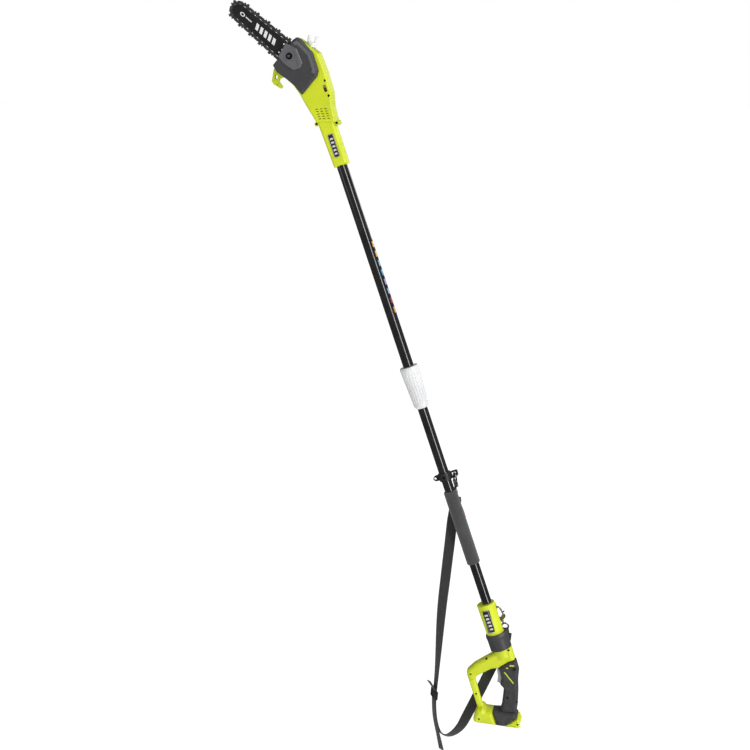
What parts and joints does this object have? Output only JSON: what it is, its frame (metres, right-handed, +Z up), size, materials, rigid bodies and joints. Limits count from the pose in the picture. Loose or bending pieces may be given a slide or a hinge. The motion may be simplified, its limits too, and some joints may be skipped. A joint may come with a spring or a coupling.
{
  "type": "pole saw",
  "caption": "Telescoping cordless pole saw: geared chain-saw head on a leaning two-part pole with a twist-lock collar, foam fore grip, D-shaped trigger handle and shoulder strap.",
  "frame": {"origin": "on the pole's axis at the middle of the foam fore grip, where the tool is held", "axes": "+Z straight up; the pole leans 18.7 degrees from +Z towards -X, the cutting side; the tool's middle plane is y = 0 and the bar nut and cover face -Y"},
  "size_m": [0.886, 0.0943, 2.3039],
  "materials": {
    "black_tube": "gloss black powder coat on aluminium",
    "lime_plastic": "moulded nylon, satin, lime green",
    "charcoal_plastic": "moulded nylon, satin, charcoal",
    "soft_overmould": "soft overmould, fine grain",
    "grey_plastic": "moulded nylon, mid grey",
    "pale_collar": "moulded nylon, pale grey",
    "white_nylon": "natural nylon",
    "black_plastic": "moulded, black",
    "foam": "closed-cell foam",
    "webbing": "woven polyester webbing",
    "red_webbing": "woven polyester tab, red",
    "bar_steel": "black baked paint with printed pale stripes",
    "chain_steel": "case-hardened, oiled",
    "bright_steel": "zinc plated",
    "screw_steel": "black oxide",
    "gear_steel": "machined",
    "tank_plastic": "translucent polythene",
    "oil_glass": "clear window over brown bar oil",
    "seal_rubber": "moulded nitrile",
    "label_print": "printed film with plain pale bars",
    "lead_rubber": "extruded sheath"
  },
  "bodies": {
    "handle_and_lower_pole": {"inner_tube": "black_tube", "strap_bracket": "black_plastic", "bracket_screw": "screw_steel", "foam_grip": "foam", "hook_bodies": "bright_steel", "hook_eyes": "bright_steel", "strap_main": "webbing", "strap_tail": "webbing", "strap_adjuster": "black_plastic", "release_tab": "red_webbing", "rear_casing_front": "lime_plastic", "rear_casing_back": "lime_plastic", "grip_front": "soft_overmould", "grip_back": "soft_overmould", "base_foot": "lime_plastic", "collar_ring": "charcoal_plastic", "switch_module": "black_plastic", "battery_terminals": "black_plastic", "grip_accents": "lime_plastic", "rear_screws": "screw_steel", "rear_label": "label_print", "trigger_spring": "bright_steel", "power_lead": "lead_rubber"},
    "upper_pole_and_head": {"outer_tube": "black_tube", "pole_collet": "white_nylon", "pole_label": "label_print", "head_casing_front": "lime_plastic", "head_casing_back": "lime_plastic", "branch_hook": "lime_plastic", "sprocket_cover": "charcoal_plastic", "clamp_plate": "grey_plastic", "bar_nut": "bright_steel", "bar_stud": "bright_steel", "chain_tensioner": "bright_steel", "guide_bar": "bar_steel", "chain_drive_links": "chain_steel", "chain_tie_straps": "chain_steel", "chain_cutters": "chain_steel", "chain_rivets": "chain_steel", "shaft_bearings": "bright_steel", "motor_can": "gear_steel", "oil_tank": "tank_plastic", "oil_window": "oil_glass", "head_screws": "screw_steel", "head_label": "label_print"},
    "collar": {"lock_collar": "pale_collar"},
    "sprocket_drive": {"drive_sprocket": "chain_steel", "sprocket_shaft": "bright_steel", "drive_gear": "gear_steel"},
    "motor_rotor": {"motor_shaft": "bright_steel", "motor_pinion": "gear_steel"},
    "nose_wheel": {"nose_sprocket": "chain_steel"},
    "cap_thread": {"oil_cap_retainer": "white_nylon"},
    "cap": {"oil_cap": "white_nylon", "oil_cap_seal": "seal_rubber"},
    "trigger": {"trigger": "grey_plastic"},
    "lock_off": {"lock_off_button": "black_plastic"},
    "front_gate": {"front_hook_gate": "bright_steel"},
    "rear_gate": {"rear_hook_gate": "bright_steel"}
  },
  "joints": [
    {"name": "pole_slide", "type": "slide", "parent": "handle_and_lower_pole", "child": "upper_pole_and_head", "axis": [-0.3206, 0, 0.9472], "range_m": [-0.195, 0.36], "deforming": ["power_lead"]},
    {"name": "collar_turn", "type": "hinge", "parent": "upper_pole_and_head", "child": "collar", "pos_m": [-0.14428, 0, 0.42624], "axis": [-0.3206, 0, 0.9472], "range_deg": [0, 90]},
    {"name": "sprocket_spin", "type": "hinge", "parent": "upper_pole_and_head", "child": "sprocket_drive", "pos_m": [-0.46742, 0, 1.35149], "axis": [0, 1, 0], "continuous": true},
    {"name": "motor_spin", "type": "hinge", "parent": "upper_pole_and_head", "child": "motor_rotor", "pos_m": [-0.44556, 0, 1.31073], "axis": [0, 1, 0], "continuous": true},
    {"name": "nose_spin", "type": "hinge", "parent": "upper_pole_and_head", "child": "nose_wheel", "pos_m": [-0.65719, -0.02, 1.50904], "axis": [0, 1, 0], "continuous": true},
    {"name": "oil_cap_lift", "type": "slide", "parent": "upper_pole_and_head", "child": "cap_thread", "axis": [0.2164, 0, 0.9763], "range_m": [0, 0.006]},
    {"name": "oil_cap_turn", "type": "hinge", "parent": "cap_thread", "child": "cap", "pos_m": [-0.45211, 0.006, 1.41368], "axis": [0.2164, 0, 0.9763], "range_deg": [0, 720]},
    {"name": "trigger_pull", "type": "slide", "parent": "handle_and_lower_pole", "child": "trigger", "axis": [0.9976, 0, 0.0698], "range_m": [0, 0.006], "stiffness_N_per_m": 900, "springref_m": -0.004, "deforming": ["trigger_spring"]},
    {"name": "lock_off_push", "type": "slide", "parent": "handle_and_lower_pole", "child": "lock_off", "axis": [0, 1, 0], "range_m": [0, 0.003], "stiffness_N_per_m": 900, "springref_m": -0.002},
    {"name": "front_hook_gate_slide", "type": "slide", "parent": "handle_and_lower_pole", "child": "front_gate", "axis": [0, 0.4226, -0.9063], "range_m": [0, 0.007], "stiffness_N_per_m": 600, "springref_m": -0.004},
    {"name": "rear_hook_gate_slide", "type": "slide", "parent": "handle_and_lower_pole", "child": "rear_gate", "axis": [0.4246, 0.0866, -0.9012], "range_m": [0, 0.007], "stiffness_N_per_m": 600, "springref_m": -0.004}
  ],
  "couplings": [
    {"joint": "motor_spin", "follows": "sprocket_spin", "ratio": -4.2857},
    {"joint": "nose_spin", "follows": "sprocket_spin", "ratio": 0.75},
    {"joint": "oil_cap_turn", "follows": "oil_cap_lift", "rad_per_m": 2094.4}
  ]
}
